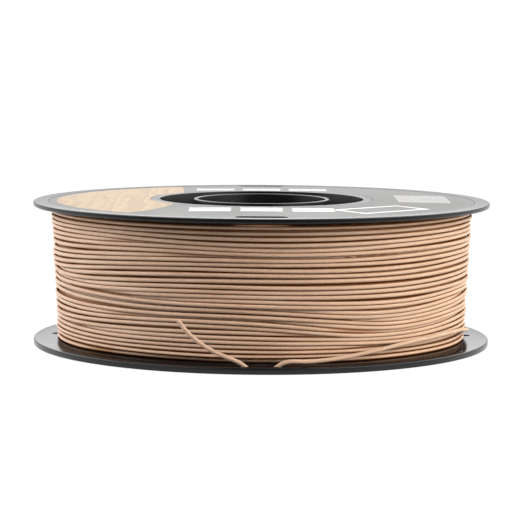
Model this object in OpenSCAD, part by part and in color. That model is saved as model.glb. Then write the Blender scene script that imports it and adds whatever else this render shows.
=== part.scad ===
// Filament spool lying on its side: two moulded flanges on a drum, a ribbed bore tube in the drum,
// a ring label on the upper flange, and one strand of filament, wound full, whose end is threaded
// through two tie holes in the lower flange.
// The origin is on the spool's axis, on the surface that it lies on. The axis is +Z.

/* [Flanges] */
// Diameter of both flanges
flange_d = 200; // [196:1:230]
// Thickness of a flange beside the winding
flange_t = 3; // [2.6:0.1:5]
// Thickness of the upper flange at its rim
upper_rim_t = 1.9; // [1.6:0.1:2.6]
// Thickness of the lower flange at its rim
lower_rim_t = 2.6; // [1.6:0.1:2.6]
// Width of the band in which a flange thins towards its rim
taper_w = 6; // [4:0.5:7]
// Clear width between the flanges
winding_w = 56.5; // [40:0.5:90]
// Radius on the edges of a rim
rim_round = 0.8; // [0.2:0.1:1.2]
// Width of the raised band between the rim and the seat of the label
rim_band = 6.5; // [3:0.5:12]
// Depth of the seat of the label, below the rim and below the lip
label_seat = 0.3; // [0.3:0.1:0.8]

/* [Hub] */
// Diameter of the bore that takes a spindle
bore_d = 56; // [30:1:70]
// Wall of the bore tube
bore_wall = 1.8; // [1:0.1:3]
// Chamfer on the ends of the bore tube
bore_chamfer = 0.4; // [0.1:0.1:0.5]
// Diameter of the open recess round the bore tube
recess_d = 89.4; // [80:0.2:110]
// Wall of the spigot on each flange
spigot_wall = 1.4; // [1:0.1:3]
// Length of the spigot on each flange
spigot_l = 8; // [4:0.5:14]
// Width of the lip round the recess
lip_w = 4; // [1.5:0.1:6]
// Height of the lip above the rim
lip_rise = 0.8; // [0.5:0.1:2]
// Wall of the drum
drum_wall = 1.8; // [1:0.1:4]
// Number of ribs between the bore tube and the drum
rib_count = 6; // [3:1:12]
// Thickness of a rib
rib_t = 2; // [1:0.1:4]

/* [Slots and tie holes] */
// Length of a slot in a flange
slot_l = 21; // [10:0.5:30]
// Width of a slot in the upper flange
upper_slot_w = 6; // [4:0.5:9]
// Land between the rim and a slot in the upper flange
upper_slot_land = 6.8; // [4:0.1:12]
// Width of a slot in the lower flange
lower_slot_w = 5; // [3:0.5:9]
// Land between the rim and a slot in the lower flange
lower_slot_land = 7.5; // [4:0.1:12]
// Distance between the middles of the two tie holes
tie_spacing = 12.8; // [10:0.2:20]
// Length of a tie hole along the strand
tie_hole_l = 5.4; // [4:0.1:7]
// Land between the rim and the middle of the tie holes
tie_land = 5; // [3:0.5:8]
// Depth of the groove that joins the tie holes on the outer face
tie_groove = 2; // [1:0.1:2.2]

/* [Label] */
// Thickness of the label
label_t = 0.25; // [0.1:0.05:0.4]
// Gap round the edges of the label
label_gap = 0.2; // [0.2:0.1:1.5]

/* [Filament] */
// Diameter of the filament
filament_d = 1.75; // [1.2:0.05:2.2]
// Diameter of the full winding
winding_d = 182; // [120:1:182]
// Most turns that the outer layer holds
layer_turns = 23; // [8:1:23]

/* [Fits] */
// Clearance between pieces that push into each other
push_fit = 0.1; // [0.05:0.05:0.3]
// Clearance round the winding
winding_gap = 0.3; // [0.2:0.05:0.6]
// Clearance on each side of the strand in a tie hole
tie_gap = 0.4; // [0.3:0.1:0.8]
// Least gap between neighbouring turns
turn_gap = 0.45; // [0.42:0.01:0.8]

/* [Hidden] */
$fn = 96;

BLACK_PLASTIC = "#26262a";
LABEL_GREY = "#b4b3b1";
FILAMENT_BEIGE = "#d8b293";

// Levels along the axis
low_face = lip_rise + flange_t;
high_face = low_face + winding_w;
spool_h = high_face + flange_t + lip_rise;

// Radii of the flanges and the hub
flange_r = flange_d / 2;
seat_r = flange_r - rim_band;
recess_r = recess_d / 2;
lip_r = recess_r + lip_w;
spigot_r = recess_r + spigot_wall;
drum_in_r = spigot_r + push_fit;
drum_r = drum_in_r + drum_wall;
bore_r = bore_d / 2;
bore_tube_r = bore_r + bore_wall;
RIM_STEPS = 6;
MOST_ROUND = 0.4;
OVERCUT = 1;

// Label
label_in_r = lip_r + label_gap;
label_out_r = seat_r - label_gap;

// Height of the label's seat above a flange's inner face: it rises evenly from the rim to the lip
function seat_level(radius) = flange_t - label_seat + lip_rise * (seat_r - radius) / (seat_r - lip_r);

// Tie holes, which lie at the front of the lower flange
tie_r = flange_r - tie_land;
tie_hole_w = filament_d + 2 * tie_gap;

// The winding is a plain core under one layer of separate turns. The layer is a helix that runs
// down and clockwise, and then climbs out to the start of the tail.
LOOP_RINGS = 24;
TURN_SIDES = 6;
ring_step = 360 / LOOP_RINGS;
strand_r = filament_d / 2;
layer_r = winding_d / 2 - strand_r;
layer_top = high_face - winding_gap - strand_r;
layer_bottom = low_face + winding_gap + strand_r;
layer_h = layer_top - layer_bottom;
turns = min(layer_turns, floor(layer_h / (filament_d + turn_gap)));
pitch = layer_h / turns;
core_r = layer_r * cos(ring_step / 2) - strand_r - winding_gap;
core_in_r = drum_r + winding_gap;

// The first turn comes out of a pocket in the core, round a bend of two strand diameters
fold_r = 2 * filament_d;
pocket_r = layer_r - fold_r - filament_d;

// The last stretch moves out over the layer in its first rings, and rises to the tail in the rest
OUT_RINGS = 3;
RISE_RINGS = 6;
helix_rings = turns * LOOP_RINGS;
last_rings = OUT_RINGS + RISE_RINGS;

// Route of the tail: off the right of the winding, down to the first tie hole, under the flange,
// up through the second hole, and free to its cut end
TAIL_SIDES = 8;
TAIL = [
    [85.5, -35.5, 11.1], [83.5, -40, 11.2], [81.5, -44.5, 11.3], [79, -48.5, 11.4],
    [76.5, -52.5, 11.3], [73.5, -56.5, 11.2], [70.5, -60.5, 11], [67, -64, 10.8],
    [63.5, -67.5, 10.5], [60, -71, 10.1], [56, -74, 9.6], [52, -77, 9],
    [47.5, -80, 8.3], [43, -82.5, 7.6], [38.5, -84.5, 6.9], [34, -86.5, 6.2],
    [29, -88.5, 5.7], [24, -90.5, 5.4], [19.5, -92.5, 5.3], [15.5, -94, 5.5],
    [12.5, -94.7, 5.6], [10.5, -95, 5.4], [8.9, -95, 4.9], [7.5, -95, 4.1],
    [6.3, -95, 3.2], [5, -95, 2.4], [3.5, -95, 1.9], [1.8, -95, 1.7],
    [-2, -95, 1.7], [-3.7, -95, 1.95], [-5.3, -95, 2.7], [-6.8, -95, 3.8],
    [-8.4, -95, 4.9], [-10.4, -95.2, 5.9], [-14, -95.4, 7.4], [-18, -95.6, 9.1],
    [-22.5, -95.8, 11.7], [-26.5, -96.1, 14.7], [-30, -96.5, 18], [-33, -97, 22.1]
];
tail_heading = unit(TAIL[1] - TAIL[0]);
tail_angle = atan2(TAIL[0].y, TAIL[0].x);
tail_start_r = norm([TAIL[0].x, TAIL[0].y]);
start_angle = tail_angle + (helix_rings + last_rings) * ring_step;

function unit(v) = v / norm(v);
function ease(x) = let (t = max(0, min(1, x))) t * t * (3 - 2 * t);
function mix(a, b, share) = a + (b - a) * share;
function on_circle(radius, angle, z) = [radius * cos(angle), radius * sin(angle), z];

// Point on the layer's path: the helix, then the stretch that climbs out to the tail
function layer_point(ring) =
    let (
        over = max(0, ring - helix_rings),
        radius = mix(layer_r, tail_start_r, ease(over / OUT_RINGS)),
        helix_z = layer_top - pitch * min(ring, helix_rings) / LOOP_RINGS,
        z = mix(helix_z, TAIL[0].z, ease((over - OUT_RINGS) / RISE_RINGS))
    )
    on_circle(radius, start_angle - ring * ring_step, z);

// Point beside the start of the layer, by its distance along the turn and from the axis
function start_point(along, radius) =
    radius * [cos(start_angle), sin(start_angle), 0]
    + along * [sin(start_angle), -cos(start_angle), 0]
    + [0, 0, layer_top];

layer_start = [
    start_point(0, pocket_r),
    for (bend = [0 : 30 : 90]) start_point(fold_r * (1 - cos(bend)), layer_r - fold_r * (1 - sin(bend)))
];
layer_path = concat(
    layer_start,
    [for (ring = [1 : helix_rings + last_rings - 1]) layer_point(ring)],
    [TAIL[0] - filament_d * tail_heading, TAIL[0]]
);

// Least gap between turns, between points that lie at least a third of a turn apart on the path
least_gap = min([
    for (i = [0 : len(layer_path) - 1])
        for (j = [i + LOOP_RINGS / 3 : 1 : len(layer_path) - 1])
            norm(layer_path[i] - layer_path[j])
]) - filament_d;
echo(least_gap_between_turns = least_gap);  // filament_outer_layer

// Direction of a path at one of its points
function heading(path, i) =
    i == 0 ? unit(path[1] - path[0]) :
    i == len(path) - 1 ? unit(path[i] - path[i - 1]) :
    unit(unit(path[i] - path[i - 1]) + unit(path[i + 1] - path[i]));

// Points of one ring of a tube, square to its path
function tube_ring(path, i, radius, sides) =
    let (
        forward = heading(path, i),
        side = unit(cross(forward, [0, 0, 1])),
        up = cross(side, forward)
    )
    [for (k = [0 : sides - 1]) path[i] + radius * (cos(360 * k / sides) * side + sin(360 * k / sides) * up)];

// Closed tube along a path
module tube(path, diameter, sides) {
    last = (len(path) - 1) * sides;
    points = [for (i = [0 : len(path) - 1]) each tube_ring(path, i, diameter / 2, sides)];
    walls = [
        for (base = [0 : sides : last - sides])
            for (k = [0 : sides - 1])
                let (a = base + k, b = base + (k + 1) % sides)
                each [[a, b, b + sides], [a, b + sides, a + sides]]
    ];
    ends = [
        for (k = [1 : sides - 2])
            each [[0, k + 1, k], [last, last + k, last + k + 1]]
    ];
    polyhedron(points = points, faces = concat(walls, ends));
}

// Slot with round ends, along X
module slot(length, width, height) {
    linear_extrude(height) {
        square([length - width, width], center = true);
        for (side = [-1, 1])
            translate([side * (length - width) / 2, 0]) circle(d = width);
    }
}

// Half of a flange's section, from the inner face at height 0 outwards
module flange_section(rim_t) {
    rim_r = min(rim_round, MOST_ROUND * rim_t);
    low_edge = [
        for (step = [0 : RIM_STEPS])
            let (angle = -90 + 90 * step / RIM_STEPS)
            [flange_r - rim_r + rim_r * cos(angle), flange_t - rim_t + rim_r + rim_r * sin(angle)]
    ];
    high_edge = [
        for (step = [0 : RIM_STEPS])
            let (angle = 90 * step / RIM_STEPS)
            [flange_r - rim_r + rim_r * cos(angle), flange_t - rim_r + rim_r * sin(angle)]
    ];
    polygon(concat(
        [[recess_r, -spigot_l], [spigot_r, -spigot_l], [spigot_r, 0], [flange_r - taper_w, 0]],
        low_edge,
        high_edge,
        [
            [seat_r, flange_t], [seat_r, seat_level(seat_r)],
            [lip_r, seat_level(lip_r)], [lip_r, flange_t + lip_rise],
            [recess_r, flange_t + lip_rise]
        ]
    ));
}

// Flange with its spigot down and its outer face up, inner face at height 0
module flange_blank(rim_t) {
    rotate_extrude() flange_section(rim_t);
}

// Places what it holds at the two ends of a flange's cross diameter
module at_front_and_back(radius) {
    for (angle = [-90, 90])
        rotate(angle) translate([radius, 0]) rotate(90) children();
}

// The two slots of the upper flange lie along its rim, at the front and the back
module upper_slots(height) {
    at_front_and_back(flange_r - upper_slot_land - upper_slot_w / 2)
        slot(slot_l, upper_slot_w, height);
}

module upper_flange() {
    color(BLACK_PLASTIC)
        difference() {
            translate([0, 0, high_face]) flange_blank(upper_rim_t);
            translate([0, 0, high_face - OVERCUT]) upper_slots(flange_t + 2 * OVERCUT);
        }
}

// The two slots of the lower flange point at the axis, at the left and the right
module lower_slots(height) {
    for (angle = [0, 180])
        rotate(angle)
            translate([flange_r - lower_slot_land - slot_l / 2, 0])
                slot(slot_l, lower_slot_w, height);
}

module tie_holes() {
    translate([0, -tie_r, lip_rise - OVERCUT]) {
        slot(tie_spacing + tie_hole_l, tie_hole_w, tie_groove + OVERCUT);
        for (side = [-1, 1])
            translate([side * tie_spacing / 2, 0]) slot(tie_hole_l, tie_hole_w, flange_t + 2 * OVERCUT);
    }
}

module lower_flange() {
    color(BLACK_PLASTIC)
        difference() {
            translate([0, 0, low_face]) mirror([0, 0, 1]) flange_blank(lower_rim_t);
            translate([0, 0, lip_rise - OVERCUT]) lower_slots(flange_t + 2 * OVERCUT);
            tie_holes();
        }
}

// Plain tube between the inner faces of the flanges, over their spigots
module winding_drum() {
    color(BLACK_PLASTIC)
        translate([0, 0, low_face])
            difference() {
                cylinder(r = drum_r, h = winding_w);
                translate([0, 0, -OVERCUT]) cylinder(r = drum_in_r, h = winding_w + 2 * OVERCUT);
            }
}

// Bore tube with ribs that reach the drum and are held between the ends of the spigots
module bore_hub() {
    rib_low = low_face + spigot_l + push_fit;
    rib_h = winding_w - 2 * (spigot_l + push_fit);
    rib_end = drum_in_r - push_fit;
    color(BLACK_PLASTIC)
        difference() {
            union() {
                rotate_extrude() polygon([
                    [bore_r - OVERCUT, 0], [bore_tube_r - bore_chamfer, 0], [bore_tube_r, bore_chamfer],
                    [bore_tube_r, spool_h - bore_chamfer], [bore_tube_r - bore_chamfer, spool_h],
                    [bore_r - OVERCUT, spool_h]
                ]);
                intersection() {
                    translate([0, 0, rib_low]) cylinder(r = rib_end, h = rib_h);
                    for (rib = [0 : rib_count - 1])
                        rotate(90 + 360 * rib / rib_count)
                            translate([bore_r, -rib_t / 2, rib_low]) cube([rib_end, rib_t, rib_h]);
                }
            }
            rotate_extrude() polygon([
                [0, -OVERCUT], [bore_r + bore_chamfer + OVERCUT, -OVERCUT], [bore_r, bore_chamfer],
                [bore_r, spool_h - bore_chamfer], [bore_r + bore_chamfer + OVERCUT, spool_h + OVERCUT],
                [0, spool_h + OVERCUT]
            ]);
        }
}

// Ring label on the rising seat of the upper flange, cut out round the slots
module upper_label() {
    in_z = high_face + seat_level(label_in_r);
    out_z = high_face + seat_level(label_out_r);
    color(LABEL_GREY)
        difference() {
            rotate_extrude() polygon([
                [label_in_r, in_z], [label_out_r, out_z],
                [label_out_r, out_z + label_t], [label_in_r, in_z + label_t]
            ]);
            translate([0, 0, out_z - OVERCUT])
                at_front_and_back(flange_r - upper_slot_land - upper_slot_w / 2)
                    slot(slot_l + 2 * label_gap, upper_slot_w + 2 * label_gap, label_t + lip_rise + 2 * OVERCUT);
        }
}

// The layers under the outer one, as one plain ring with a pocket where the outer layer starts
module filament_inner_layers() {
    core_low = low_face + winding_gap;
    core_h = winding_w - 2 * winding_gap;
    pocket_h = filament_d + 2 * winding_gap;
    color(FILAMENT_BEIGE)
        difference() {
            translate([0, 0, core_low]) cylinder(r = core_r, h = core_h);
            translate([0, 0, core_low - OVERCUT]) cylinder(r = core_in_r, h = core_h + 2 * OVERCUT);
            rotate(start_angle)
                translate([pocket_r, -fold_r - strand_r, layer_top - pocket_h / 2])
                    cube([winding_d, fold_r + filament_d + winding_gap, pocket_h + OVERCUT]);
        }
}

module filament_outer_layer() {
    color(FILAMENT_BEIGE) tube(layer_path, filament_d, TURN_SIDES);
}

module filament_tail() {
    color(FILAMENT_BEIGE) tube(TAIL, filament_d, TAIL_SIDES);
}

lower_flange();
upper_flange();
winding_drum();
bore_hub();
upper_label();
filament_inner_layers();
filament_outer_layer();
filament_tail();
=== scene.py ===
"""Looks of a filament spool that lies on its side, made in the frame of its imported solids.

All lengths are metres. The origin is on the spool's axis, on the surface that the spool lies on,
and the axis is +Z. The front, where the strand's end is threaded through the lower flange, is -Y.
"""

import logging
import math
from collections.abc import Callable, Iterator, Mapping, Sequence
from contextlib import contextmanager
from dataclasses import dataclass
from enum import Enum
from typing import Any, Union

import bmesh
import bpy
import numpy as np
from mathutils import Matrix, Vector


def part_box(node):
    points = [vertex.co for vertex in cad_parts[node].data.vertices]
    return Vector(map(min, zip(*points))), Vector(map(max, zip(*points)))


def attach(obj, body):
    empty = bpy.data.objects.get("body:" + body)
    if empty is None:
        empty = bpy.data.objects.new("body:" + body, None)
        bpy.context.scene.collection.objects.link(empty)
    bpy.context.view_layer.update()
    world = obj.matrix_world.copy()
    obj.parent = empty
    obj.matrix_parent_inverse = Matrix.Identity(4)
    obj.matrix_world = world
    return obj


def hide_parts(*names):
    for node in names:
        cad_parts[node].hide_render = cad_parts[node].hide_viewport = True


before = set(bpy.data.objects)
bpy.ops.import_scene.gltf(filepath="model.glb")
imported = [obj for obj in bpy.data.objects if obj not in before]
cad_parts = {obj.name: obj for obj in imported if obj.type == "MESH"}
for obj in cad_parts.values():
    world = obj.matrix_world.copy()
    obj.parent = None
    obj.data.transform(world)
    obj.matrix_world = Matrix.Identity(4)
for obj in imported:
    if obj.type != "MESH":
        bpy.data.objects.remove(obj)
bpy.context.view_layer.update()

MM = 0.001
BODY = "root"
SHADE_ATTRIBUTE = "painted_gap_shade"
WHITE = (1.0, 1.0, 1.0, 1.0)
LOG = logging.getLogger("spool")

Colour = tuple[float, float, float, float]
Point = tuple[float, float, float]
Pair = tuple[float, float]
Operand = Union["Signal", float]
Piece = bpy.types.Object
Finish = bpy.types.Material


class Slot(Enum):
    """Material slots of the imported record."""

    PLASTIC = "spool_plastic"
    LABEL = "label_film"
    FILAMENT = "filament"


class Side(Enum):
    """The two ends of the spool, each with the direction of its outer face along the axis."""

    LOWER = -1
    UPPER = 1


@dataclass(frozen=True)
class Signal:
    """A value in a shader. Arithmetic on it adds Math nodes to its graph."""

    graph: "Graph"
    socket: bpy.types.NodeSocket

    def _math(self, operation: str, first: Operand, second: Operand = 0.0) -> "Signal":
        """Adds one Math node and gives its result."""
        return self.graph.node("ShaderNodeMath", {"operation": operation}, {0: first, 1: second})

    def __add__(self, other: Operand) -> "Signal":
        """Adds two values."""
        return self._math("ADD", self, other)

    def __radd__(self, other: Operand) -> "Signal":
        """Adds a value to a number."""
        return self._math("ADD", other, self)

    def __sub__(self, other: Operand) -> "Signal":
        """Takes a value from this one."""
        return self._math("SUBTRACT", self, other)

    def __rsub__(self, other: Operand) -> "Signal":
        """Takes this value from a number."""
        return self._math("SUBTRACT", other, self)

    def __mul__(self, other: Operand) -> "Signal":
        """Multiplies two values."""
        return self._math("MULTIPLY", self, other)

    def __rmul__(self, other: Operand) -> "Signal":
        """Multiplies a number by this value."""
        return self._math("MULTIPLY", other, self)

    def __truediv__(self, other: Operand) -> "Signal":
        """Divides this value by another."""
        return self._math("DIVIDE", self, other)

    def __rtruediv__(self, other: Operand) -> "Signal":
        """Divides a number by this value."""
        return self._math("DIVIDE", other, self)

    def __abs__(self) -> "Signal":
        """Size of the value without its sign."""
        return self._math("ABSOLUTE", self)

    def fraction(self) -> "Signal":
        """What the value has past its whole number."""
        return self._math("FRACT", self)

    def most(self, other: Operand) -> "Signal":
        """The larger of two values."""
        return self._math("MAXIMUM", self, other)

    def clamp(self) -> "Signal":
        """The value held between 0 and 1."""
        return self.graph.node("ShaderNodeClamp", {}, {"Value": self})

    def ramp(self, start: float, width: float) -> "Signal":
        """0 up to a start, 1 from a width past it, and straight between the two."""
        return ((self - start) / width).clamp()

    def below(self, limit: Operand, blur: float) -> "Signal":
        """1 below a limit and 0 above it, with an edge of a given width."""
        return ((limit - self) / blur + 0.5).clamp()

    def between(self, low: float, high: float) -> "Signal":
        """The number that this share makes of the way from one number to another."""
        return self * (high - low) + low


class Graph:
    """Node tree of a material or a world, filled through one method."""

    def __init__(self, tree: bpy.types.NodeTree) -> None:
        """Empties a tree, to fill it."""
        self.tree = tree
        tree.nodes.clear()

    def node(
        self,
        kind: str,
        settings: Mapping[str, Any] | None = None,
        inputs: Mapping[str | int, Any] | None = None,
        output: str | int = 0,
    ) -> Signal:
        """Adds one node.

        Args:
            kind: Type of the node.
            settings: Its settings, set before its sockets.
            inputs: Numbers, colours or signals for its sockets.
            output: Socket to return.

        Returns:
            The chosen output.
        """
        made = self.tree.nodes.new(kind)
        for name, setting in (settings or {}).items():
            setattr(made, name, setting)
        for name, value in (inputs or {}).items():
            if isinstance(value, Signal):
                self.tree.links.new(value.socket, made.inputs[name])
            else:
                made.inputs[name].default_value = value
        return Signal(self, made.outputs[output] if made.outputs else None)

    def place(self) -> Signal:
        """Object coordinates, in metres."""
        return self.node("ShaderNodeTexCoord", output="Object")

    def axes(self, vector: Signal) -> tuple[Signal, Signal, Signal]:
        """The x, y and z of a vector."""
        split = self.node("ShaderNodeSeparateXYZ", {}, {"Vector": vector})
        return tuple(Signal(self, socket) for socket in split.socket.node.outputs)

    def length(self, vector: Signal) -> Signal:
        """Length of a vector."""
        return self.node("ShaderNodeVectorMath", {"operation": "LENGTH"}, {0: vector}, "Value")

    def stretched(self, vector: Signal, scale: Point) -> Signal:
        """Coordinates times a factor along each axis."""
        return self.node("ShaderNodeMapping", {}, {"Vector": vector, "Scale": scale})

    def noise(self, vector: Signal, size: float, detail: float = 2.0, warp: float = 0.0) -> Signal:
        """Noise from 0 to 1, about 0.5 on average, with patches of a size in the coordinates' units."""
        sockets = {"Vector": vector, "Scale": 1.0 / size, "Detail": detail, "Distortion": warp}
        return self.node("ShaderNodeTexNoise", {}, sockets, "Fac")

    def mix(self, share: Operand, first: Signal | Colour, second: Signal | Colour) -> Signal:
        """Colour between two others, by the share of the second."""
        settings = {"data_type": "RGBA", "clamp_factor": True}
        return self.node("ShaderNodeMix", settings, {0: share, 6: first, 7: second}, 2)

    def bump(self, height: Signal, depth: float, strength: float) -> Signal:
        """Normal of a surface with relief of a given depth, of which a given share shows."""
        return self.node("ShaderNodeBump", {}, {"Strength": strength, "Distance": depth, "Height": height})

    def matt(self, colour: Colour) -> Signal:
        """Shader of a surface of one colour with no shine."""
        return self.node("ShaderNodeBsdfDiffuse", {}, {"Color": colour})

    def half_gloss(self, share: float, sockets: Mapping[str, Any]) -> Signal:
        """Shader of a surface of which only a share mirrors.

        Args:
            share: Share that mirrors.
            sockets: Sockets of the whole surface. The rest of it has no relief.

        Returns:
            The shader.
        """
        gloss = self.node("ShaderNodeBsdfPrincipled", {}, sockets)
        flat = {name: value for name, value in sockets.items() if name != "Normal"}
        dull = self.node("ShaderNodeBsdfPrincipled", {}, {**flat, "Specular IOR Level": 0.0})
        return self.blend(1 - share, gloss, dull)

    def blend(self, share: Operand, first: Signal, second: Signal) -> Signal:
        """Shader between two others, by the share of the second."""
        return self.node("ShaderNodeMixShader", {}, {0: share, 1: first, 2: second})

    def ray(self, kind: str) -> Signal:
        """1 for a ray of a kind that Light Path names."""
        return self.node("ShaderNodeLightPath", output=kind)

    def seen(self) -> Signal:
        """1 for a ray of the camera, of a reflection or through glass, which shows the background."""
        return self.ray("Is Camera Ray").most(self.ray("Is Glossy Ray")).most(self.ray("Is Transmission Ray"))

    def finish(self, shader: Signal, kind: str = "ShaderNodeOutputMaterial") -> None:
        """Ends the tree in an output."""
        self.node(kind, {}, {"Surface": shader})


def new_material(name: str) -> tuple[Finish, Graph]:
    """Makes an empty node material.

    Args:
        name: Name of the material.

    Returns:
        The material and its graph.
    """
    material = bpy.data.materials.new(name)
    material.use_nodes = True
    return material, Graph(material.node_tree)


@dataclass(frozen=True)
class SpoolPlastic:
    """Gloss black moulded plastic with a faint haze of handling and fine moulding grain."""

    name: str = "gloss_black_plastic"
    colour: Colour = (0.005, 0.005, 0.0055, 1.0)
    dusty: Colour = (0.014, 0.0135, 0.013, 1.0)
    dust_from: float = 0.45
    dust_width: float = 0.625
    gloss: float = 0.12
    haze: float = 0.12
    haze_patch: float = 22 * MM
    grain_size: float = 0.5 * MM
    grain_depth: float = 0.01 * MM
    grain_share: float = 0.25
    index: float = 1.49
    mirror_share: float = 0.5

    def make(self) -> Finish:
        """Builds the material.

        Returns:
            The material.
        """
        material, graph = new_material(self.name)
        place = graph.place()
        patches = graph.noise(place, self.haze_patch, detail=4.0, warp=0.6)
        grain = graph.noise(place, self.grain_size)
        dust = patches.ramp(self.dust_from, self.dust_width) * grain
        colour = graph.mix(dust, self.colour, self.dusty)
        sockets = {
            "Base Color": colour,
            "Roughness": patches * self.haze + self.gloss,
            "IOR": self.index,
            "Normal": graph.bump(grain, self.grain_depth, self.grain_share),
        }
        graph.finish(graph.half_gloss(self.mirror_share, sockets))
        return material


@dataclass(frozen=True)
class WoodFilament:
    """Satin filament filled with wood dust: a beige body with dark and pale fibres in it."""

    name: str = "wood_filled_filament"
    body: Colour = (0.62, 0.44, 0.316, 1.0)
    deep: Colour = (0.53, 0.36, 0.245, 1.0)
    deep_from: float = 0.35
    deep_width: float = 1 / 2.2
    deep_patch: float = 16 * MM
    deep_stretch: Point = (1.0, 1.0, 6.0)
    dark_fibre: Colour = (0.31, 0.2, 0.125, 1.0)
    dark_from: float = 0.58
    dark_width: float = 1 / 7
    dark_share: float = 0.55
    dark_size: float = 0.42 * MM
    pale_fibre: Colour = (0.76, 0.63, 0.49, 1.0)
    pale_from: float = 0.57
    pale_width: float = 1 / 6
    pale_share: float = 0.5
    pale_size: float = 0.714 * MM
    # Painted shade: the strand turns this brown at the flanks of a turn, and this near-black between turns
    # and beside the flanges
    painted_flank_shade: Colour = (0.5, 0.235, 0.09, 1.0)
    painted_gap_shade: Colour = (0.125, 0.036, 0.008, 1.0)
    smoothest: float = 0.3
    roughening: float = 0.25
    shine: float = 0.06
    relief: float = 0.05 * MM
    relief_share: float = 0.35
    index: float = 1.46

    def make(self) -> Finish:
        """Builds the material.

        Returns:
            The material.
        """
        material, graph = new_material(self.name)
        place = graph.place()
        tint = graph.noise(graph.stretched(place, self.deep_stretch), self.deep_patch, detail=3.0)
        specks = graph.noise(place, self.dark_size, detail=3.0, warp=0.8)
        flecks = graph.noise(place, self.pale_size, warp=1.2)
        body = graph.mix(tint.ramp(self.deep_from, self.deep_width), self.body, self.deep)
        pale = flecks.ramp(self.pale_from, self.pale_width) * self.pale_share
        dark = specks.ramp(self.dark_from, self.dark_width) * self.dark_share
        colour = graph.mix(dark, graph.mix(pale, body, self.pale_fibre), self.dark_fibre)
        # Painted shade: an attribute of the winding darkens the strand between turns and beside the flanges
        painted_shade = graph.node("ShaderNodeAttribute", {"attribute_name": SHADE_ATTRIBUTE}, output="Fac")
        sockets = {
            "Base Color": graph.mix(painted_shade, colour, self.painted_flank_shade),
            "Roughness": specks * self.roughening + self.smoothest,
            "IOR": self.index,
            "Specular IOR Level": self.shine,
            "Normal": graph.bump(specks, self.relief, self.relief_share),
        }
        strand = graph.node("ShaderNodeBsdfPrincipled", {}, sockets)
        graph.finish(graph.blend(painted_shade, strand, graph.matt(self.painted_gap_shade)))
        return material


@dataclass(frozen=True)
class WoodPrint:
    """A printed field of pale wood: wavy rings and fine fibres, drawn out along Y."""

    pale: Colour = (0.48, 0.31, 0.11, 1.0)
    line: Colour = (0.31, 0.16, 0.04, 1.0)
    ring_pitch: float = 7 * MM
    ring_gap: float = 0.2
    ring_share: float = 0.75
    bend: float = 5.0
    bend_patch: float = 14 * MM
    bend_stretch: Point = (1.0, 0.16, 1.0)
    fibre_size: float = 0.9 * MM
    fibre_share: float = 0.45
    fibre_stretch: Point = (1.0, 0.05, 1.0)
    paling: float = 0.1

    def colour(self, graph: Graph, place: Signal) -> Signal:
        """Draws the grain.

        Args:
            graph: Graph of the material.
            place: Object coordinates.

        Returns:
            Colour of the field.
        """
        bends = graph.noise(graph.stretched(place, self.bend_stretch), self.bend_patch)
        fibres = graph.noise(graph.stretched(place, self.fibre_stretch), self.fibre_size, detail=3.0)
        across, _, _ = graph.axes(place)
        rings = ((across / self.ring_pitch + bends * self.bend).fraction() - self.ring_gap).clamp()
        lines = rings * self.ring_share + fibres * self.fibre_share - self.paling
        return graph.mix(lines.clamp(), self.pale, self.line)


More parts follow.
